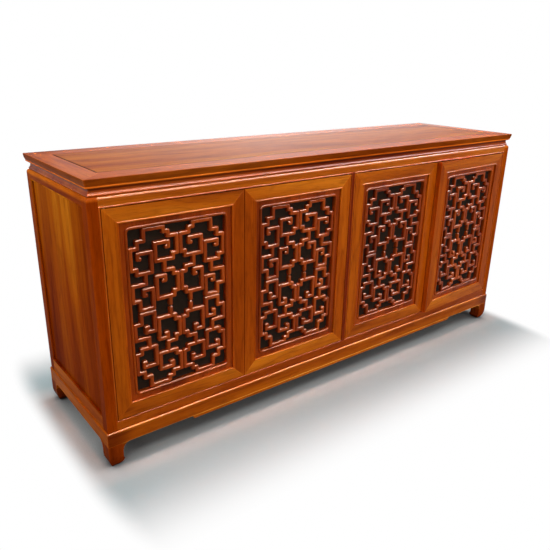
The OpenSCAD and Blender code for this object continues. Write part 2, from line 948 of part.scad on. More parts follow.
module door_inner_frame(n) {
    color(rosewood_red) place_door(n) translate([door_w / 2, 0, door_h / 2]) {
        along_y(inner_sink, inner_t) difference() {
            square([2 * (field_x + inner_frame_w), 2 * (field_z + inner_frame_w)], center = true);
            round_rect(2 * field_x, 2 * field_z, corner_r);
        }
        translate([0, inner_sink, 0]) fret_bead();
    }
}

// Section of a fretwork bar, or of its length: s wide, with the front edges bevelled
module bar_section(s) {
    polygon([
        [bar_bevel, -s / 2], [bar_t, -s / 2], [bar_t, s / 2], [bar_bevel, s / 2],
        [0, s / 2 - bar_bevel], [0, -s / 2 + bar_bevel]
    ]);
}

// A bar between two points of a scroll, reaching half its width past both, bevelled all round
module bar(from, to) {
    w = abs(to[0] - from[0]) + bar_w;
    h = abs(to[1] - from[1]) + bar_w;
    translate([(from[0] + to[0]) / 2, fret_set, (from[1] + to[1]) / 2]) intersection() {
        along_x(-w / 2, w / 2) bar_section(h);
        rotate([0, 90, 0]) along_x(-h / 2, h / 2) bar_section(w);
    }
}

module scroll(points) {
    for (i = [1 : len(points) - 1])
        bar([column_x(points[i - 1][0]), row_z(points[i - 1][1])],
            [column_x(points[i][0]), row_z(points[i][1])]);
}

module door_fretwork(n) {
    color(rosewood_red) place_door(n) translate([door_w / 2, 0, door_h / 2])
        for (sx = [0, 1], sz = [0, 1]) mirror([sx, 0, 0]) mirror([0, 0, sz])
            for (points = scrolls) scroll(points);
}

module door_backing(n) {
    edge = door_frame_w - rebate_w + fit;
    color(black_stain) place_door(n)
        block([edge, inner_t, edge], [door_w - edge, inner_t + backing_t, door_h - edge]);
}

// Brass pivot pins, and the strike disc near the free edge
module door_hardware(n) {
    reach = door_gap + bead_w + socket_d - end_fit;
    color(brass) place_door(n) {
        for (z = [-reach, door_h - pin_seat])
            translate([pivot_in, pivot_back, z]) cylinder(h = reach + pin_seat, r = pin_r);
        translate([door_w - strike_in, door_t + strike_t, door_h - strike_drop]) rotate([90, 0, 0])
            cylinder(h = strike_t, r = strike_r);
    }
}

top_front_rail();
top_back_rail();
top_end_rails();
top_panel();
top_battens();
waist_moulding();
front_left_post();
front_right_post();
back_left_post();
back_right_post();
front_top_rail();
front_sill();
centre_mullion();
left_end_rails();
right_end_rails();
left_end_panel();
right_end_panel();
back_rails();
back_stile();
back_panels();
floor_board();
partition();
left_shelf();
right_shelf();
shelf_cleats();
left_opening_bead();
right_opening_bead();
door_catches();
front_apron();
back_apron();
left_apron();
right_apron();
front_left_foot();
front_right_foot();
back_left_foot();
back_right_foot();
for (n = [1 : 4]) {
    door_stiles(n);
    door_rails(n);
    door_inner_frame(n);
    door_fretwork(n);
    door_backing(n);
    door_hardware(n);
}
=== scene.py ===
# %% [markdown]
# # A rosewood sideboard with fretwork doors
#
# This lesson dresses a finished construction model of a sideboard. The joinery is already exact: posts,
# rails, panels, doors and pivots all come from the packed model, each as its own mesh. What is left is
# what a polisher and a photographer add: broken edges, carved and rounded fretwork, the figure and
# gloss of the wood, and light.

# %% Load the packed model
import json
import math

import bmesh
import bpy
from mathutils import Matrix, Vector


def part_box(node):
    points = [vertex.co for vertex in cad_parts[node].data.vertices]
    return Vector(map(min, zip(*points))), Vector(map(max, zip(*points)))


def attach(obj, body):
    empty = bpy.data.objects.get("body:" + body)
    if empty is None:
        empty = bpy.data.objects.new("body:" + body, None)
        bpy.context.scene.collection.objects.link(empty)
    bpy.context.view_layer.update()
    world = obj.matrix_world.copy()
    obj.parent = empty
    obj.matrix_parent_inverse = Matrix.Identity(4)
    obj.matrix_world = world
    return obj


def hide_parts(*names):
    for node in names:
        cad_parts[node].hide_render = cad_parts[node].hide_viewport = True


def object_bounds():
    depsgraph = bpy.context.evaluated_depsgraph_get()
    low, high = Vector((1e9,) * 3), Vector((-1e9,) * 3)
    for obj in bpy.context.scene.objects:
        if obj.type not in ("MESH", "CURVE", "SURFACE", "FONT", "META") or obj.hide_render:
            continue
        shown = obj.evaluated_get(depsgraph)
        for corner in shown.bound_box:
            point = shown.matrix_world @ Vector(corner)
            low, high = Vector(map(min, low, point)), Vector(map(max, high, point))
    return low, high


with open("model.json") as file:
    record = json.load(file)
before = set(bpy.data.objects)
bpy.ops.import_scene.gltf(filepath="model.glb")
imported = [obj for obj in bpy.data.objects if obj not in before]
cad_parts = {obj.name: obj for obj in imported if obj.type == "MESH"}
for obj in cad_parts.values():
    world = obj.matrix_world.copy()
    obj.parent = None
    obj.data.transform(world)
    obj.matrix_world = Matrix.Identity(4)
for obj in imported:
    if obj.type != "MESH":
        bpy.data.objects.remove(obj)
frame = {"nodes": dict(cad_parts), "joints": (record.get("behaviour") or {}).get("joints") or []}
nodes = frame["nodes"]
cad_low, cad_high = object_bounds()
print("size", [round(v, 4) for v in cad_high - cad_low])

# %% [markdown]
# ## Camera
#
# The picture was taken from a little over a metre up, off the left front corner, with a normal lens. A
# camera could be aimed with a Track To constraint, but the horizon here leans by a degree, so the turn
# is written out as angles.

# %% Camera
CAMERA_PLACE = (-1.407, -1.617, 1.123)
CAMERA_TURN = (69.583, -1.107, -37.724)
CAMERA_LENS = 38.46
FILM_WIDTH = 36

scene = bpy.context.scene
camera_data = bpy.data.cameras.new("camera")
camera_data.lens = CAMERA_LENS
camera_data.sensor_width = FILM_WIDTH
camera = bpy.data.objects.new("camera", camera_data)
camera.location = CAMERA_PLACE
camera.rotation_euler = [math.radians(a) for a in CAMERA_TURN]
scene.collection.objects.link(camera)
scene.camera = camera
scene.view_settings.view_transform = "Standard"
print("camera", round(math.degrees(camera_data.angle), 1), "degrees wide")

# %% [markdown]
# ## Colours
#
# Colours are usually named in steps of 0 to 255, as on a paint maker's chart. Light adds up on another
# scale, the linear one, and that is what the sockets of a node expect. The values could be turned by
# hand, but one small function lets the script keep the familiar numbers.


# %% Colours
def srgb(red, green, blue):
    """A colour given in 0 to 255, as on a paint maker's chart, in linear light."""
    values = []
    for v in (red, green, blue):
        v /= 255
        values.append(v / 12.92 if v <= 0.04045 else ((v + 0.055) / 1.055) ** 2.4)
    return (*values, 1)


WHITE = (1, 1, 1, 1)
print("half grey is", round(srgb(128, 128, 128)[0], 3), "in linear light")

# %% [markdown]
# ## Node helpers
#
# Every material below is a small graph of nodes, and so is the world. Drawing them in the editor would
# do, but many differ in a few values only, so they are built by a class with short methods: one adds a
# node and sets its sockets by name, and the others make the few kinds of node that come again and
# again.


# %% Node helpers
class Graph:
    """The nodes of a material or of the world, with short ways to add and link them."""

    def __init__(self, owner, shader):
        owner.use_nodes = True
        self.owner = owner
        self.tree = owner.node_tree
        self.shader = self.tree.nodes[shader]

    def fill(self, socket, value):
        """Links a socket to another one, or sets it to a plain value."""
        if isinstance(value, bpy.types.NodeSocket):
            self.tree.links.new(value, socket)
        else:
            socket.default_value = value

    def add(self, kind, inputs=None, **settings):
        """A new node, with its settings by name and its inputs by name or number."""
        node = self.tree.nodes.new(kind)
        for key, value in settings.items():
            setattr(node, key, value)
        for key, value in (inputs or {}).items():
            self.fill(node.inputs[key], value)
        return node

    def give(self, socket, value):
        """Links or sets an input of the main shader."""
        self.fill(self.shader.inputs[socket], value)

    def math(self, operation, a, b=0.0):
        """One sum with plain numbers, such as MULTIPLY or MAXIMUM."""
        return self.add("ShaderNodeMath", {0: a, 1: b}, operation=operation).outputs[0]

    def vector(self, operation, a, b=(0, 0, 0)):
        """The same sum on each of the three numbers of a vector."""
        return self.add("ShaderNodeVectorMath", {0: a, 1: b}, operation=operation).outputs[0]

    def openness(self, reach, samples, inside=False):
        """1 in the open and less in corners; with inside, 1 in thick wood and less at its arrises."""
        return self.add("ShaderNodeAmbientOcclusion", {"Distance": reach}, samples=samples,
                        inside=inside).outputs["AO"]

    def axis(self, vector, number):
        """One of the three numbers of a vector."""
        return self.add("ShaderNodeSeparateXYZ", {0: vector}).outputs[number]

    def noise(self, place, scale, detail, roughness=0.5, distortion=0.0):
        """A cloudy grey, which is finer when its scale is higher."""
        inputs = {"Vector": place, "Scale": scale, "Detail": detail, "Roughness": roughness,
                  "Distortion": distortion}
        return self.add("ShaderNodeTexNoise", inputs).outputs[0]

    def span(self, value, start, stop, low=0.0, high=1.0, curve="LINEAR"):
        """Runs from low to high while the value runs from start to stop, and is level outside that."""
        inputs = {"Value": value, "From Min": start, "From Max": stop, "To Min": low, "To Max": high}
        return self.add("ShaderNodeMapRange", inputs, interpolation_type=curve).outputs[0]

    def ramp(self, factor, stops):
        """A colour ramp, from a list of places between 0 and 1 and their colours."""
        node = self.add("ShaderNodeValToRGB", {"Fac": factor})
        elements = node.color_ramp.elements
        while len(elements) < len(stops):
            elements.new(0.5)
        for element, (position, colour) in zip(elements, stops):
            element.position = position
            element.color = colour
        return node.outputs["Color"]

    def times(self, colour, shade, share=1.0):
        """A colour multiplied by a shade, as far as the share says."""
        node = self.add("ShaderNodeMix", data_type="RGBA", blend_type="MULTIPLY")
        for index, value in ((0, share), (6, colour), (7, shade)):
            self.fill(node.inputs[index], value)
        return node.outputs[2]


print("helpers", [name for name in vars(Graph) if not name.startswith("_")])

# %% [markdown]
# ## Materials and rays
#
# A new material starts with a Principled shader, which can be wood, plastic or brass. The floor and the
# world also have to know who looks at them: a Light Path node tells the rays that show something from
# those that only light it. Laying the picture over white afterwards would do for the background, but
# not for what the polish mirrors.


# %% Materials and rays
def new_material(name):
    """The graph of a new material, which holds a Principled shader to start with."""
    return Graph(bpy.data.materials.new(name), "Principled BSDF")


def seen_rays(graph):
    """1 for rays from the camera, from a gloss or through glass, and 0 for the others."""
    path = graph.add("ShaderNodeLightPath").outputs
    either = graph.math("MAXIMUM", path["Is Camera Ray"], path["Is Glossy Ray"])
    return graph.math("MAXIMUM", either, path["Is Transmission Ray"])


print("materials so far", len(bpy.data.materials))

# %% [markdown]
# ## Floor
#
# The sideboard stands on a white studio sweep. One huge flat sheet is enough for it, because the white
# above it comes from the world.

# %% Floor
FLOOR_REACH = 30.0

floor_mesh = bmesh.new()
bmesh.ops.create_grid(floor_mesh, x_segments=1, y_segments=1, size=FLOOR_REACH)
floor_data = bpy.data.meshes.new("floor")
floor_mesh.to_mesh(floor_data)
floor_mesh.free()
floor = bpy.data.objects.new("floor", floor_data)
scene.collection.objects.link(floor)
print("floor", 2 * FLOOR_REACH, "m wide")

# %% [markdown]
# ## Shades of the floor
#
# A real sweep is never evenly white. Close under the aprons and round the feet little light gets in, so
# the floor's colour is painted darker there, as a painted shadow, where an ambient occlusion node finds
# little open sky. In front of the doors the orange wood throws its light on the floor, so the floor's
# colour is painted cooler and darker there, as a painted shade against that warm light, and the sum
# looks grey. Further out the sheet turns to a plain white, for the rays from the camera, from gloss and
# through glass. It could be white all over, but then the soft shadow would be lost.
#
# All these distances are counted outwards from the edge of the sideboard's plan, in metres.

# %% Shades of the floor
FLOOR_COLOUR = srgb(202, 206, 206)
# Painted shade: a cooler, darker floor colour in front of the doors, against the wood's warm light.
PAINTED_FLOOR_SHADE_IN_BOUNCE = srgb(172, 190, 194)
BOUNCE_REACH = 0.34
CONTACT_REACH = 0.16
# Painted shadow: the floor's colour darkens close under and round the base.
CONTACT_SHADE = (0.19, 0.19, 0.19, 1)
FADE_START, FADE_STOP = 0.09, 0.39
SIDE_HASTE = (4, 1, 0)


def floor_colour(graph, past_plan):
    """The floor's colour, with painted shade: cooler and darker where the wood throws its light, and a
    painted shadow close to the base.
    """
    forward = graph.span(graph.axis(past_plan, 1), 0.0, BOUNCE_REACH)
    tone = graph.ramp(forward, [(0.0, FLOOR_COLOUR), (0.22, PAINTED_FLOOR_SHADE_IN_BOUNCE), (0.4, PAINTED_FLOOR_SHADE_IN_BOUNCE),
                                (1.0, FLOOR_COLOUR)])
    open_sky = graph.openness(CONTACT_REACH, samples=8)
    return graph.times(tone, graph.ramp(open_sky, [(0.3, CONTACT_SHADE), (0.95, WHITE)]))


def share_of_white(graph, past_plan):
    """None at the base and all further out, sooner at the sides than at the front."""
    outside = graph.vector("MAXIMUM", graph.vector("MULTIPLY", past_plan, SIDE_HASTE))
    far = graph.add("ShaderNodeVectorMath", {0: outside}, operation="LENGTH").outputs["Value"]
    fade = graph.span(far, FADE_START, FADE_STOP, curve="SMOOTHSTEP")
    return graph.math("MULTIPLY", fade, seen_rays(graph))


def floor_material():
    """A dull pale sheet that turns to plain white away from the sideboard."""
    graph = new_material("floor")
    place = graph.add("ShaderNodeTexCoord").outputs["Object"]
    past_plan = graph.vector("SUBTRACT", graph.vector("ABSOLUTE", place), (cad_high.x, cad_high.y, 0))
    graph.give("Base Color", floor_colour(graph, past_plan))
    graph.give("Roughness", 0.9)
    graph.give("Specular IOR Level", 0.0)
    white = graph.add("ShaderNodeEmission", {"Color": WHITE, "Strength": 1.0}).outputs[0]
    blend = graph.add("ShaderNodeMixShader", {0: share_of_white(graph, past_plan),
                                              1: graph.shader.outputs[0], 2: white}).outputs[0]
    graph.fill(graph.tree.nodes["Material Output"].inputs["Surface"], blend)
    return graph.owner


floor.data.materials.append(floor_material())
print("white from", FADE_STOP, "m in front of the doors")

# %% [markdown]
# ## Backdrop
#
# Behind the sideboard there is only white, and its polish mirrors the same white. A world of full
# strength would light the wood from all sides and flatten it. So the world is white for the rays that
# see it, and weak for those that it lights.

# %% Backdrop
AMBIENT = 0.2

world = bpy.data.worlds.new("studio")
scene.world = world
sky = Graph(world, "Background")
sky.give("Color", WHITE)
sky.give("Strength", sky.span(seen_rays(sky), start=0.0, stop=1.0, low=AMBIENT, high=1.0))
print("world", world.name, "lights with", AMBIENT)

# %% [markdown]
# ## Light
#
# Polished wood shows its shape by its highlights. Four soft lamps light only the colour of the wood:
# one in front, one above the front, one overhead that throws the shadow down, and one at the left end.
# Two more are seen only in the polish. The wide ceiling draws the bright lines along the mouldings and
# the carved bars, and the low window behind lays a sheen on the top. One lamp could do both jobs, but
# then the lines and the colour could not be set apart from each other.


# %% Light
def area_light(name, place, target, size, power, on, spread=180):
    """A rectangular lamp for the body colour or the gloss on it; a small spread fades its edges."""
    data = bpy.data.lights.new(name, "AREA")
    data.shape = "RECTANGLE"
    data.size, data.size_y = size
    data.energy = power
    data.spread = math.radians(spread)
    light = bpy.data.objects.new(name, data)
    light.location = place
    light.rotation_euler = (Vector(target) - Vector(place)).to_track_quat("-Z", "Y").to_euler()
    light.visible_camera = False
    light.visible_diffuse = on == "colour"
    light.visible_glossy = on == "gloss"
    scene.collection.objects.link(light)


area_light("front", place=(0.9, -3.4, 0.9), target=(0.1, 0, 0.5), size=(3.0, 1.2),
           power=62, on="colour")
area_light("above_front", place=(0.1, -1.5, 2.5), target=(-0.1, -0.2, 0.7), size=(3.4, 0.8),
           power=30, on="colour")
area_light("overhead", place=(0.5, 0.7, 2.3), target=(0.3, 0.0, 0.8), size=(2.6, 0.9),
           power=24, on="colour")
area_light("left", place=(-2.2, -0.1, 1.5), target=(-0.9, 0, 0.6), size=(0.6, 0.9),
           power=15, on="colour")
area_light("ceiling", place=(-1.7, -2.5, 2.7), target=(-1.7, -2.5, 0), size=(12.0, 8.0),
           power=34000, on="gloss", spread=132)
area_light("window", place=(2.2, 3.0, 1.37), target=(0.0, 0, cad_high.z), size=(4.4, 1.2),
           power=4.2, on="gloss", spread=44)
print("lamps", [light.name for light in bpy.data.lights])

# %% [markdown]
# ## Figure, rings and pores
#
# Rosewood has a broad light and dark figure, rings that the saw has cut at a slant, and fine dark pores
# that run with the grain. A photograph of a board would show all that, but it would repeat and would
# not turn the edges of a rail. Here the figure comes from noise stretched along the grain. The rings
# are level lines of that same noise, which gives the long pointed arches of a sawn board. Object
# coordinates keep the pattern still and at its real size, and the object's own random number shifts it,
# so that no two boards match.

# %% Figure, rings and pores
GRAIN_STRETCH = {"x": (0.10, 1, 1), "y": (1, 0.10, 1), "z": (1, 1, 0.10)}
PORE_STRETCH = 0.35
BOARD_SHIFT = (7.0, 13.0, 5.0)
FIGURE_SCALE, STREAK_SCALE, PORE_SCALE = 9.0, 70.0, 750.0
HALF_RINGS = 17.0
RING_LINE = (0.55, 0.5, 0.5, 1)
STREAK_LINE = (0.55, 0.42, 0.40, 1)
PORE_DOT = (0.45, 0.35, 0.35, 1)


def board_noises(graph, place, grain):
    """The broad figure, the streaks and the pores of a board whose grain runs along one axis."""
    stretch = GRAIN_STRETCH[grain]
    chance = graph.add("ShaderNodeObjectInfo").outputs["Random"]
    shift = graph.add("ShaderNodeVectorMath", {0: BOARD_SHIFT, "Scale": chance}, operation="SCALE")
    moved = graph.vector("ADD", place, shift.outputs[0])
    board = graph.add("ShaderNodeMapping", {"Vector": moved, "Scale": stretch}).outputs[0]
    long_pores = [PORE_STRETCH if s < 1 else 1.0 for s in stretch]
    fine = graph.add("ShaderNodeMapping", {"Vector": board, "Scale": long_pores}).outputs[0]
    figure = graph.noise(board, FIGURE_SCALE, detail=3.0, roughness=0.55, distortion=0.35)
    streak = graph.noise(board, STREAK_SCALE, detail=4.0, roughness=0.6, distortion=0.2)
    return figure, streak, graph.noise(fine, PORE_SCALE, detail=2.0)


def clean_wood(graph, figure, streak, pore, light, mid, dark):
    """The colour of a fresh board: its figure, with the rings, streaks and pores laid over it."""
    colour = graph.ramp(figure, [(0.30, dark), (0.50, mid), (0.70, light)])
    level = graph.math("PINGPONG", graph.math("MULTIPLY", figure, HALF_RINGS), 1.0)
    colour = graph.times(colour, graph.ramp(level, [(0.0, RING_LINE), (0.28, WHITE)]), share=0.42)
    colour = graph.times(colour, graph.ramp(streak, [(0.32, STREAK_LINE), (0.52, WHITE)]), share=0.55)
    return graph.times(colour, graph.ramp(pore, [(0.34, PORE_DOT), (0.44, WHITE)]), share=0.5)


print("rings", HALF_RINGS / 2, "from the darkest to the lightest of the figure")

# %% [markdown]
# ## Painted shade, wear, painted highlights and bands
#
# Use adds to the figure, and painted light is laid on it too. The corners are painted darker, as painted
# shade, where an ambient occlusion node finds little open space. The arrises are painted lighter where
# the same node, turned inwards, finds little wood, partly as wear from hands and partly as a painted
# highlight. Some pieces also change along their height or towards their ends: the end panels are painted
# lighter near the top, partly as painted light and partly as tone, the hollow is painted dark right
# under the top as painted shade, and the rounded edges are painted pale as painted highlights. Painted
# masks could do this, but a ramp over the place of a point needs no picture and fits every size.

# %% Painted shade, wear and bands
# Painted shade laid into the corners.
PAINTED_CORNER_SHADE = (0.16, 0.1, 0.1, 1)
ARRIS_REACH = 0.004
# The lighter tint of the arrises: partly wear, partly a painted highlight.
ARRIS_WEAR_AND_GLINT = (1.7, 1.7, 1.7, 1)
JOINT_START, JOINT_STOP = -0.003, -0.002
JOINT_SHADE = 0.25


def with_corner_shade_and_arris_tint(graph, colour, shelter_reach, wear_and_glint):
    """Painted shade in the corners, and arrises painted lighter, partly as wear and partly as a painted
    highlight.
    """
    open_space = graph.openness(shelter_reach, samples=6)
    colour = graph.times(colour, graph.ramp(open_space, [(0.2, PAINTED_CORNER_SHADE), (0.75, WHITE)]), share=0.85)
    solid_wood = graph.openness(ARRIS_REACH, samples=4, inside=True)
    return graph.times(colour, graph.ramp(solid_wood, [(0.35, ARRIS_WEAR_AND_GLINT), (0.85, WHITE)]), share=wear_and_glint)


def with_joint(graph, colour, place, edge):
    """A dark line just inside the edge of a panel, where it meets the mitred frame round it."""
    past = graph.vector("SUBTRACT", graph.vector("ABSOLUTE", place), (*edge, 0))
    near = graph.math("MAXIMUM", graph.axis(past, 0), graph.axis(past, 1))
    return graph.times(colour, graph.span(near, JOINT_START, JOINT_STOP, low=1.0, high=JOINT_SHADE))


def with_bands(graph, colour, place, low, high, stops):
    """Bands of shade, one above the other, between two heights."""
    share = graph.span(graph.axis(place, 2), low, high)
    return graph.times(colour, graph.ramp(share, [(at, (*shade, 1)) for at, shade in stops]))


def with_shaded_ends(graph, colour, place, start, stop, shade):
    """A shade towards both ends of a long piece, between two distances from its middle."""
    share = graph.span(graph.math("ABSOLUTE", graph.axis(place, 0)), start, stop, curve="SMOOTHSTEP")
    return graph.times(colour, graph.ramp(share, [(0.0, WHITE), (1.0, (*shade, 1))]))


def with_painted_shade_on_sides(graph, colour, shade):
    """Painted shade on all faces but those that look up, as if the light came from above."""
    upward = graph.axis(graph.add("ShaderNodeNewGeometry").outputs["Normal"], 2)
    return graph.times(colour, graph.span(upward, start=0.2, stop=0.9, low=shade, high=1.0))


# Prints the painted corner shade and the arris tint, which is partly wear and partly painted highlight.
print("dirt", PAINTED_CORNER_SHADE[:3], "rubbed", ARRIS_WEAR_AND_GLINT[:3])

# %% [markdown]
# ## Polish
#
# Over the wood lies a thin clear polish. A separate coat would be the usual way, but the coat's whole
# reflection would grey these dark colours. A low index of refraction on the wood's own shader gives the
# same soft sheen, and a warm tint keeps its highlights brown. The pores are pressed in a little with a
# bump, since they are far too small for a mesh.

# %% Polish
SHEEN_TINT = srgb(255, 222, 196)
HAZE = (-0.04, 0.06)
PORE_DEPTH = 0.0003


def polish(graph, streak, pore, gloss, ior):
    """A soft polish, a little hazier from streak to streak, with sunken pores."""
    graph.give("Roughness", graph.span(streak, 0.0, 1.0, low=gloss + HAZE[0], high=gloss + HAZE[1]))
    graph.give("IOR", ior)
    graph.give("Specular Tint", SHEEN_TINT)
    bump = {"Strength": 0.12, "Distance": PORE_DEPTH, "Height": pore}
    graph.give("Normal", graph.add("ShaderNodeBump", bump).outputs[0])


print("polish tint", [round(v, 2) for v in SHEEN_TINT[:3]])

# %% [markdown]
# ## One finish
#
# A whole finish is now put together: figure, painted corner shade and wear, bands and polish. One
# material for all pieces would be quicker, but the grain has to run along each board, and the boards
# differ in colour and in gloss. So there is one material for each kind of board, all from one function,
# with a default for what most of them share.


# %% One finish
def rosewood(name, grain, light, mid, dark, gloss=0.18, ior=1.12, shelter_reach=0.012, wear_and_glint=0.5,
             joint=None, painted_side_shade=None, by_height=None, by_end=None):
    """A rosewood finish: its grain axis, three colours, polish, painted corner shade and wear, and the
    painted highlights, painted shade and other marks that some pieces get.
    """
    graph = new_material(name)
    place = graph.add("ShaderNodeTexCoord").outputs["Object"]
    figure, streak, pore = board_noises(graph, place, grain)
    colour = clean_wood(graph, figure, streak, pore, light, mid, dark)
    # Painted shade in the corners, and arrises painted lighter, partly wear and partly painted
    # highlight.
    colour = with_corner_shade_and_arris_tint(graph, colour, shelter_reach, wear_and_glint)
    if joint:
        colour = with_joint(graph, colour, place, joint)
    if by_height:
        colour = with_bands(graph, colour, place, *by_height)
    if by_end:
        colour = with_shaded_ends(graph, colour, place, *by_end)
    # Painted shade on all faces that don't look up.
    if painted_side_shade:
        colour = with_painted_shade_on_sides(graph, colour, painted_side_shade)
    graph.give("Base Color", colour)
    polish(graph, streak, pore, gloss, ior)
    return graph.owner


# %% [markdown]
# ## Woods of the frame and the doors
#
# All the wood is of one kind, but no two boards took the stain and the sun alike. The long rails are
# orange, the stiles and posts browner, and the feet and the fretwork a little darker; the feet's darker
# palette is partly painted shade, for feet that get little light. One colour for all would be simpler,
# and would make the piece look cast. Each palette holds the light, the middle and the dark of the
# figure.


# %% Woods of the frame and the doors
def palette(light, mid, dark):
    """Three colours of one board, given in 0 to 255."""
    return dict(light=srgb(*light), mid=srgb(*mid), dark=srgb(*dark))


ORANGE = palette((192, 106, 18), (166, 80, 7), (128, 50, 2))
STILE = palette((174, 86, 10), (148, 62, 4), (112, 38, 1))
POST = palette((160, 72, 6), (138, 50, 2), (104, 30, 1))
RED = palette((168, 78, 14), (146, 58, 7), (114, 36, 3))
INNER = palette((158, 70, 13), (136, 53, 7), (102, 34, 3))
FRET = palette((156, 66, 12), (134, 50, 7), (98, 30, 3))

rail_wood = rosewood("rosewood_long", "x", **ORANGE)
stile_wood = rosewood("rosewood_stile", "z", **STILE, ior=1.09)
sill_wood = rosewood("rosewood_sill", "x", **STILE)
plain_post = rosewood("rosewood_mullion", "z", **POST, ior=1.1)
red_upright = rosewood("red_rosewood_upright", "z", **RED)
inner_wood = rosewood("rosewood_inner", "z", **INNER)
fret_wood = rosewood("rosewood_carved", "z", **FRET, gloss=0.13, ior=1.17, wear_and_glint=0.3, shelter_reach=0.02)
print("materials so far", len(bpy.data.materials))

# %% [markdown]
# ## Woods of the ends and the base
#
# These pieces carry bands. Bands are a list of places, between 0 at the bottom and 1 at the top of a
# stretch of height, each with a shade that multiplies the wood's own colour. The rounded nose under the
# waist, at the posts and along the end rails, and the edges of the front apron are painted pale, as
# painted highlights. The corners of that apron are darker, and the side aprons are lighter all over. The
# end panels are painted lighter and yellower at the top and darker and redder below, partly as painted
# light from above and partly as the boards' own tone, and the feet are darker towards the bottom. The
# heights are read from the packed pieces, so the bands stay in their place when the sideboard is made
# taller. Both the nose and the front apron are measured downwards from the top of their part.

# %% Woods of the ends and the base
# The feet's palette is darker partly as painted shade.
FOOT = palette((156, 66, 12), (132, 50, 6), (98, 32, 3))
END = palette((180, 92, 8), (154, 66, 2), (116, 36, 0))
BASE_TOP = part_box("left_apron")[1].z
CASE_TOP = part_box("waist_moulding")[0].z
NOSE_HEIGHT = 0.020
APRON_STRETCH = 0.056
PLAIN = (1, 1, 1)
# Tints for painted highlights on rounded edges.
PAINTED_GLINT = (2.0, 2.8, 7.0)
PAINTED_EDGE_GLINT = (1.9, 3.4, 16.0)
WARMER = (1.45, 1.8, 2.4)
GOLDEN = (1.15, 1.2, 1.4)

# Painted highlight on the nose of the posts.
PAINTED_NOSE_HIGHLIGHT = [(0.3, PLAIN), (0.6, PAINTED_GLINT), (0.85, PAINTED_GLINT), (1.0, PLAIN)]
# Painted highlights along the bottom edge and the rounded ledge of the front apron.
APRON_EDGE_HIGHLIGHTS = [(0.18, PLAIN), (0.20, PAINTED_EDGE_GLINT), (0.225, PAINTED_EDGE_GLINT), (0.25, PLAIN), (0.82, PLAIN),
               (0.90, (1.4, 1.8, 4.0)), (1.0, (2.0, 3.2, 12.0))]
APRON_CORNERS = (0.82, 0.90, (0.5, 0.36, 0.25))
# The feet get darker towards the bottom.
DARKER_AT_BOTTOM = [(0.0, (0.62, 0.56, 0.5)), (0.4, PLAIN)]
# A warmer lowest rail, and a painted highlight on the nose of the end rails.
END_BANDS = [(0.0, WARMER), (0.058, WARMER), (0.064, PLAIN), (0.978, PLAIN), (0.986, PAINTED_GLINT),
             (0.995, PAINTED_GLINT), (1.0, PLAIN)]
# Painted light on the end panels, partly the boards' own tone: lighter and yellower at the top, darker
# and redder below.
TOP_LIGHT_AND_TONE = [(0.0, (0.72, 0.5, 0.3)), (0.5, (1.0, 0.9, 0.7)), (1.0, (1.3, 1.75, 3.0))]

post_wood = rosewood("rosewood_upright", "z", **POST, ior=1.02,
                     by_height=(CASE_TOP - NOSE_HEIGHT, CASE_TOP, PAINTED_NOSE_HIGHLIGHT))
end_wood = rosewood("rosewood_deep", "y", **END, ior=1.025, by_height=(BASE_TOP, CASE_TOP, END_BANDS))
side_wood = rosewood("rosewood_side", "z", **END, ior=1.012, by_height=(BASE_TOP, CASE_TOP, TOP_LIGHT_AND_TONE))
foot_wood = rosewood("rosewood_foot", "z", **FOOT, ior=1.03, by_height=(0.0, BASE_TOP, DARKER_AT_BOTTOM))
front_apron_wood = rosewood("rosewood_front_apron", "x", **ORANGE, by_end=APRON_CORNERS,
                            by_height=(BASE_TOP - APRON_STRETCH, BASE_TOP, APRON_EDGE_HIGHLIGHTS))
apron_wood = rosewood("rosewood_apron", "y", **ORANGE, ior=1.04,
                      by_height=(0.0, BASE_TOP, [(0.0, GOLDEN), (1.0, GOLDEN)]))
print("base up to", round(BASE_TOP, 4), "m, case up to", round(CASE_TOP, 4), "m")

# %% [markdown]
# ## Woods of the top
#
# The top has the best boards and the highest polish. Its panel lies flush in a mitred frame, and a dark
# line shows where they meet. The frame's moulded edge has a bead that is painted pale, as a painted
# highlight, and under it runs a hollow that is painted dark right under the top, as painted shade, so
# there the painted shade of the corners reaches further than elsewhere.

# %% Woods of the top
TOP = palette((194, 112, 22), (174, 86, 10), (136, 54, 4))
TOP_FRAME = palette((192, 98, 24), (172, 76, 12), (134, 50, 6))
PANEL_EDGE = (0.850, 0.167)
TOP_UNDER, TOP_FACE = (corner.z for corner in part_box("top_front_rail"))
# Painted highlight on the bead of the top's moulded edge.
BEAD_HIGHLIGHT_TINT = (2.6, 2.9, 3.4)
PAINTED_BEAD_HIGHLIGHT = [(0.04, PLAIN), (0.12, BEAD_HIGHLIGHT_TINT), (0.22, BEAD_HIGHLIGHT_TINT), (0.30, PLAIN)]
# Painted shade in the hollow right under the top.
PAINTED_HOLLOW_SHADE = [(0.55, PLAIN), (0.8, (0.35, 0.3, 0.3))]
# The top frame gets a painted bead highlight, and painted shade on all faces but those that look up.
MOULDED = dict(gloss=0.16, painted_side_shade=0.5, by_height=(TOP_UNDER, TOP_FACE, PAINTED_BEAD_HIGHLIGHT))

top_wood = rosewood("rosewood_top", "x", **TOP, gloss=0.12, ior=1.014, joint=PANEL_EDGE)
frame_long = rosewood("top_frame_long", "x", **TOP_FRAME, ior=1.02, **MOULDED)
frame_deep = rosewood("top_frame_deep", "y", **TOP_FRAME, ior=1.025, **MOULDED)
# The waist's corner shade reaches further, and its hollow gets painted shade.
waist_wood = rosewood("rosewood_waist", "x", **RED, ior=1.10, shelter_reach=0.03,
                      by_height=(CASE_TOP, TOP_UNDER, PAINTED_HOLLOW_SHADE))
print("top", round(TOP_FACE - TOP_UNDER, 4), "m thick")

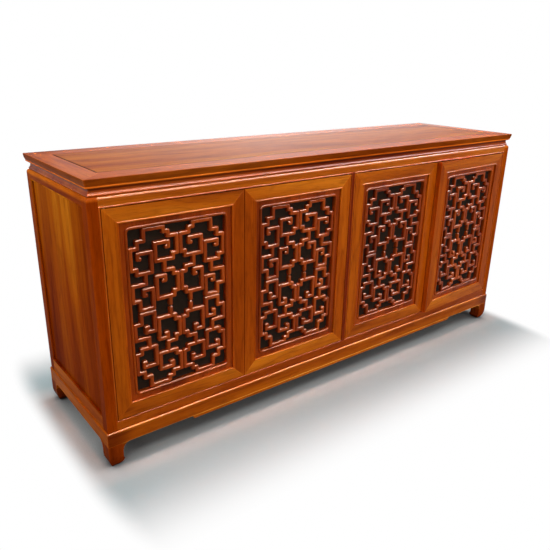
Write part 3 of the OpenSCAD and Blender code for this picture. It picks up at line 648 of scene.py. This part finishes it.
# %% [markdown]
# ## The other finishes
#
# The boards inside are the same wood without its polish. The board behind the fretwork is stained
# nearly black, so that the carving stands out, the catches are dull plastic, and the pivot pins and
# strikes are turned brass. A flat colour would do for such small pieces, but close by it looks like
# paint, so each has a little cloud in it.

# %% The other finishes
INSIDE = palette((126, 80, 46), (104, 62, 34), (80, 44, 24))
INSIDE_GLOSS = 0.5


def stained(name, colour, roughness, shine):
    """A dull, slightly cloudy colour, for stained boards and plastic."""
    graph = new_material(name)
    place = graph.add("ShaderNodeTexCoord").outputs["Object"]
    cloud = graph.noise(place, scale=40.0, detail=4.0)
    shade = graph.ramp(cloud, [(0.3, (0.75, 0.75, 0.75, 1)), (0.7, WHITE)])
    graph.give("Base Color", graph.times(colour, shade, share=0.8))
    graph.give("Roughness", roughness)
    graph.give("Specular IOR Level", shine)
    return graph.owner


def turned_brass(name):
    """Brass off the lathe, darker and rougher in small clouds."""
    graph = new_material(name)
    place = graph.add("ShaderNodeTexCoord").outputs["Object"]
    cloud = graph.noise(place, scale=600.0, detail=3.0)
    graph.give("Base Color", graph.ramp(cloud, [(0.3, srgb(150, 112, 56)), (0.6, srgb(204, 166, 98))]))
    graph.give("Roughness", graph.span(cloud, 0.0, 1.0, low=0.22, high=0.45))
    graph.give("Metallic", 1.0)
    return graph.owner


backing_board = stained("backing_board", srgb(36, 28, 22), roughness=0.8, shine=0.0)
catch_plastic = stained("catch_plastic", srgb(28, 26, 25), roughness=0.5, shine=0.2)
interior = rosewood("interior_wood", "x", **INSIDE, gloss=INSIDE_GLOSS)
interior_upright = rosewood("interior_wood_upright", "z", **INSIDE, gloss=INSIDE_GLOSS)
interior_deep = rosewood("interior_wood_deep", "y", **INSIDE, gloss=INSIDE_GLOSS)
brass = turned_brass("brass")
print("materials", len(bpy.data.materials))

# %% [markdown]
# ## Broken edges
#
# A cabinet maker breaks every sharp edge with a stroke of sandpaper, and that tiny round is what
# catches the light. The packed meshes have dead sharp edges, so each gets a narrow bevel as a modifier.
# Before it, the loose triangles are welded and the flat faces dissolved, because a bevel needs clean
# edges to follow. Editing the meshes would do the same, but the modifiers leave the measured shapes as
# they are. Normals that are stored with a mesh would spoil the light on the new rounds, so they go.

# %% Broken edges
WELD_REACH = 0.00002
FLAT_TURN = math.radians(0.5)
EDGE_TURN = math.radians(35)


def dress(name, material, edge):
    """Gives a packed node its finish, and breaks its edges to a width in metres."""
    node = nodes[name]
    node.data.materials.clear()
    node.data.materials.append(material)
    if "custom_normal" in node.data.attributes:
        node.data.attributes.remove(node.data.attributes["custom_normal"])
    for polygon in node.data.polygons:
        polygon.use_smooth = True
    weld = node.modifiers.new("weld", "WELD")
    weld.merge_threshold = WELD_REACH
    flat = node.modifiers.new("flat", "DECIMATE")
    flat.decimate_type = "DISSOLVE"
    flat.angle_limit = FLAT_TURN
    bevel = node.modifiers.new("edges", "BEVEL")
    bevel.width = edge
    bevel.segments = 2
    bevel.limit_method = "ANGLE"
    bevel.angle_limit = EDGE_TURN
    bevel.harden_normals = True
    bevel.use_clamp_overlap = True


print("edges over", round(math.degrees(EDGE_TURN)), "degrees are broken")

# %% [markdown]
# ## Finishing the packed pieces
#
# Every piece now gets its finish. Joints that were planed flush have the narrowest edges, and what
# hands and feet touch has the widest. Each row of the lists holds a finish, the width of the broken
# edges in metres, and the pieces that get both.

# %% Finishing the carcase
CARCASE = [
    (frame_long, 0.0012, ["top_front_rail", "top_back_rail"]),
    (frame_deep, 0.0012, ["top_end_rails"]),
    (top_wood, 0.0018, ["top_panel"]),
    (waist_wood, 0.0005, ["waist_moulding"]),
    (post_wood, 0.0016, ["front_left_post", "front_right_post", "back_left_post", "back_right_post"]),
    (rail_wood, 0.0005, ["front_top_rail"]),
    (rail_wood, 0.0008, ["back_rails", "back_apron"]),
    (sill_wood, 0.0005, ["front_sill"]),
    (plain_post, 0.0005, ["centre_mullion"]),
    (plain_post, 0.0008, ["back_stile"]),
    (end_wood, 0.0005, ["left_end_rails", "right_end_rails"]),
    (side_wood, 0.0005, ["left_end_panel", "right_end_panel"]),
    (red_upright, 0.0004, ["left_opening_bead", "right_opening_bead"]),
    (front_apron_wood, 0.0014, ["front_apron"]),
    (apron_wood, 0.0008, ["left_apron", "right_apron"]),
    (foot_wood, 0.0012, ["front_left_foot", "front_right_foot", "back_left_foot", "back_right_foot"]),
    (interior, 0.0005, ["back_panels", "floor_board"]),
    (interior, 0.0008, ["left_shelf", "right_shelf"]),
    (interior_upright, 0.0005, ["partition"]),
    (interior_deep, 0.0006, ["top_battens"]),
    (interior_deep, 0.0008, ["shelf_cleats"]),
    (catch_plastic, 0.0006, ["door_catches"]),
]

for material, edge, pieces in CARCASE:
    for name in pieces:
        dress(name, material, edge)
print("finished", sum(len(pieces) for material, edge, pieces in CARCASE), "pieces of the carcase")

# %% Finishing the doors
DOORS = (1, 2, 3, 4)
DOOR_PIECES = [
    (stile_wood, 0.0005, "stiles"),
    (rail_wood, 0.0005, "rails"),
    (inner_wood, 0.0004, "inner_frame"),
    (backing_board, 0.0003, "backing"),
    (brass, 0.0002, "hardware"),
]

for door in DOORS:
    for material, edge, piece in DOOR_PIECES:
        dress(f"door_{door}_{piece}", material, edge)
print("finished", len(DOORS) * len(DOOR_PIECES), "pieces of the doors")

# %% [markdown]
# ## Fretwork
#
# The panels are scrolls of squared bars, sawn from one board and then carved to a half round by hand. A
# curve with a round bevel would be quick, but it pinches at square corners. So each scroll is a thin
# ribbon along its centre line, thickened to a bar. Its outer corners are rounded first, and then the
# front is inset in steps that climb a quarter circle, so every corner gets a true mitre of the half
# round.
#
# One quarter of the panel is drawn, as columns and rows counted from the centre, and the rest is
# mirrored. A seam parts the inner scrolls from the outer ones, a little past the middle of the quarter,
# and the columns on both sides of it have their own pitch. The panel is as large as the packed one.

# %% Centre lines of the scrolls
fret_low, fret_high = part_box("door_1_fretwork")
HALF_WIDTH = (fret_high.x - fret_low.x) / 2
HALF_HEIGHT = (fret_high.z - fret_low.z) / 2
BAR = 0.012
INNER_SHARE = 0.52
SEAM = HALF_WIDTH * INNER_SHARE
INNER_COLUMNS, OUTER_COLUMNS, ROWS = 5, 6, 19

SCROLLS = {
    "crown": [(12, 14.9), (10, 14.9), (10, 16.4), (8, 16.4), (8, 19), (3, 19), (3, 17.9), (2, 17.9),
              (2, 16.7), (0, 16.7), (0, 12.4), (1, 12.4), (1, 11.2), (5, 11.2), (5, 15.4), (2, 15.4),
              (2, 14.2), (2.5, 14.2)],
    "upper": [(12, 14.9), (12, 10), (10.5, 10), (10.5, 8.8), (6, 8.8), (6, 13.6), (10, 13.6), (10, 12.4),
              (9.4, 12.4)],
    "inner": [(3, 11.2), (3, 8.6), (1, 8.6), (1, 7.4), (0, 7.4), (0, 3.2), (1, 3.2), (1, 2), (5, 2),
              (5, 7.4), (3, 7.4), (3, 6.2), (3.5, 6.2)],
    "outer": [(8, 8.8), (8, 6.2), (12, 6.2), (12, 2.4), (10, 2.4), (10, 0), (6, 0), (6, 4.8), (8.7, 4.8),
              (8.7, 3.5), (8.1, 3.5)],
    "link": [(2, 2), (2, 0)],
}


def grid_point(column, row):
    """Where the centre lines of a column and a row cross, in metres from the panel's centre."""
    if column <= INNER_COLUMNS:
        x = BAR / 2 + column * (SEAM - BAR) / INNER_COLUMNS
    else:
        x = SEAM + BAR / 2 + (column - INNER_COLUMNS - 1) * (HALF_WIDTH - SEAM - BAR) / OUTER_COLUMNS
    return Vector((x, 0, BAR / 2 + row * (HALF_HEIGHT - BAR) / ROWS))


print("scrolls", {name: len(path) for name, path in SCROLLS.items()})

# %% [markdown]
# ## A bar from a centre line
#
# The points of a scroll are joined to a line, and the line is extruded to a ribbon as deep as the bar's
# square part. Pulling the sides out by hand would make the corners thin. A Solidify modifier thickens
# the ribbon evenly, which keeps the width in every corner.

# %% A bar from a centre line
BAR_DEPTH = fret_high.y - fret_low.y
TIP_REACH = 0.0052
ROUND_UP = 0.0042
TOUCHING_TURN = math.radians(1)


def centre_line(path):
    """The points of one scroll, with both ends pushed out to the tips of the bar."""
    points = [grid_point(*step) for step in path]
    for end, beside in ((0, 1), (-1, -2)):
        points[end] += (points[end] - points[beside]).normalized() * TIP_REACH
    return points


def ribbon_along(points):
    """A thin ribbon through the points, as deep as the bar behind its rounded front, as an object."""
    ribbon = bmesh.new()
    line = [ribbon.verts.new(p + Vector((0, ROUND_UP, 0))) for p in points]
    edges = [ribbon.edges.new(pair) for pair in zip(line, line[1:])]
    grown = bmesh.ops.extrude_edge_only(ribbon, edges=edges)["geom"]
    back = [v for v in grown if isinstance(v, bmesh.types.BMVert)]
    bmesh.ops.translate(ribbon, verts=back, vec=(0, BAR_DEPTH - ROUND_UP, 0))
    data = bpy.data.meshes.new("ribbon")
    ribbon.to_mesh(data)
    ribbon.free()
    body = bpy.data.objects.new("ribbon", data)
    scene.collection.objects.link(body)
    return body


def square_bar(ribbon):
    """The ribbon thickened to a square bar, as a bmesh with whole flat sides."""
    thick = ribbon.modifiers.new("thick", "SOLIDIFY")
    thick.thickness = BAR
    thick.offset = 0
    thick.use_even_offset = True
    bar = bmesh.new()
    bar.from_object(ribbon, bpy.context.evaluated_depsgraph_get())
    bpy.data.objects.remove(ribbon)
    bmesh.ops.recalc_face_normals(bar, faces=bar.faces)
    bmesh.ops.dissolve_limit(bar, angle_limit=TOUCHING_TURN, verts=bar.verts[:], edges=bar.edges[:])
    return bar


print("bar", BAR, "m wide,", round(BAR_DEPTH, 4), "m deep")

# %% [markdown]
# ## Carving the bar
#
# A carver first rounds the outer corners of the bars, and then takes their front down to a half round.
# A bevel on the front edges would cut the corners short. An inset of the whole front keeps its mitres,
# and a few insets on a quarter circle, each a little further in and higher up, make the round.

# %% Carving the bar
CORNER = 0.005
ROUND_IN = 0.0048
ROUND_STEPS = 4
CORNER_TURN = math.radians(45)
STRAIGHT = 0.99


def front_to_back(edge):
    """True for an edge that runs straight from the front to the back."""
    a, b = (v.co for v in edge.verts)
    return abs((a - b).normalized().y) > STRAIGHT


def round_corners(bar):
    """Rounds the outer corners of a square bar."""
    outer = [e for e in bar.edges if front_to_back(e) and e.calc_face_angle_signed() > CORNER_TURN]
    bmesh.ops.bevel(bar, geom=outer, affect="EDGES", offset=CORNER, segments=4, profile=0.5, material=-1,
                    clamp_overlap=False)


def round_front(bar):
    """Raises the front of a bar to a half round, in steps along a quarter circle."""
    front = [f for f in bar.faces if f.normal.y < -STRAIGHT]
    done_in = done_up = 0
    for step in range(1, ROUND_STEPS + 1):
        turn = math.radians(90 * step / ROUND_STEPS)
        inward = ROUND_IN * (1 - math.cos(turn))
        upward = ROUND_UP * math.sin(turn)
        bmesh.ops.inset_region(bar, faces=front, thickness=inward - done_in, depth=upward - done_up,
                               use_even_offset=True, use_boundary=True)
        done_in, done_up = inward, upward


def carve_scroll(path):
    """The mesh of one scroll: a closed half round bar along its centre line."""
    bar = square_bar(ribbon_along(centre_line(path)))
    round_corners(bar)
    round_front(bar)
    mesh = bpy.data.meshes.new("scroll")
    bar.to_mesh(mesh)
    bar.free()
    return mesh


scroll_meshes = [carve_scroll(path) for path in SCROLLS.values()]
print("faces of one quarter", sum(len(mesh.polygons) for mesh in scroll_meshes))

# %% [markdown]
# ## The whole panel
#
# A quarter is mirrored to both sides and up and down. Mirror modifiers would do it too, but here all
# copies end up in one mesh at once. Scaling by minus one turns a mesh inside out, so the faces are
# turned outwards again at the end. The round fronts are shaded smooth, and only real corners stay
# sharp.

# %% The whole panel
SHARP_TURN = math.radians(40)

panel = bmesh.new()
for side in (1, -1):
    for level in (1, -1):
        for mesh in scroll_meshes:
            known = set(panel.verts)
            panel.from_mesh(mesh)
            added = [v for v in panel.verts if v not in known]
            bmesh.ops.scale(panel, vec=(side, 1, level), verts=added)
bmesh.ops.recalc_face_normals(panel, faces=panel.faces)
panel_mesh = bpy.data.meshes.new("fretwork")
panel.to_mesh(panel_mesh)
panel.free()
for polygon in panel_mesh.polygons:
    polygon.use_smooth = True
panel_mesh.set_sharp_from_angle(angle=SHARP_TURN)
print("panel", len(panel_mesh.polygons), "faces")

# %% [markdown]
# ## A panel for every door
#
# Every door gets its own copy of the panel, which takes the place of the plain packed fretwork. An
# instance of one mesh would save memory, but a finished piece keeps its place in its own mesh. Door 4
# stands ajar, so its fretwork is turned and can't be measured along the axes. Its copy takes its place
# from door 1, mirrored, and then turns about the pivot with the door.

# %% A panel for every door
AJAR_DOOR = 4
TWIN_DOOR = 1


def closed_centre(door):
    """The middle of the packed fretwork's front, for a door that is closed."""
    low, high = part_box(f"door_{door}_fretwork")
    centre = (low + high) / 2
    centre.y = low.y
    return centre


def ajar_place():
    """The twin door's place, mirrored and turned about the pivot as far as the door stands open."""
    centre = closed_centre(TWIN_DOOR)
    centre.x = -centre.x
    hinge = next(joint for joint in frame["joints"] if joint["child"] == f"door_{AJAR_DOOR}")
    pivot = Matrix.Translation(hinge["pos_m"])
    closing = Matrix.Rotation(math.radians(hinge["range_deg"][0] * hinge["axis"][2]), 4, "Z")
    return pivot @ closing.inverted() @ pivot.inverted() @ Matrix.Translation(centre)


for door in DOORS:
    mesh = panel_mesh.copy()
    mesh.transform(ajar_place() if door == AJAR_DOOR else Matrix.Translation(closed_centre(door)))
    mesh.materials.append(fret_wood)
    piece = bpy.data.objects.new(f"door_{door}_carved_fretwork", mesh)
    scene.collection.objects.link(piece)
    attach(piece, f"door_{door}")
    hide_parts(f"door_{door}_fretwork")
    print(piece.name, "triangles", sum(len(p.vertices) - 2 for p in mesh.polygons))

# %% [markdown]
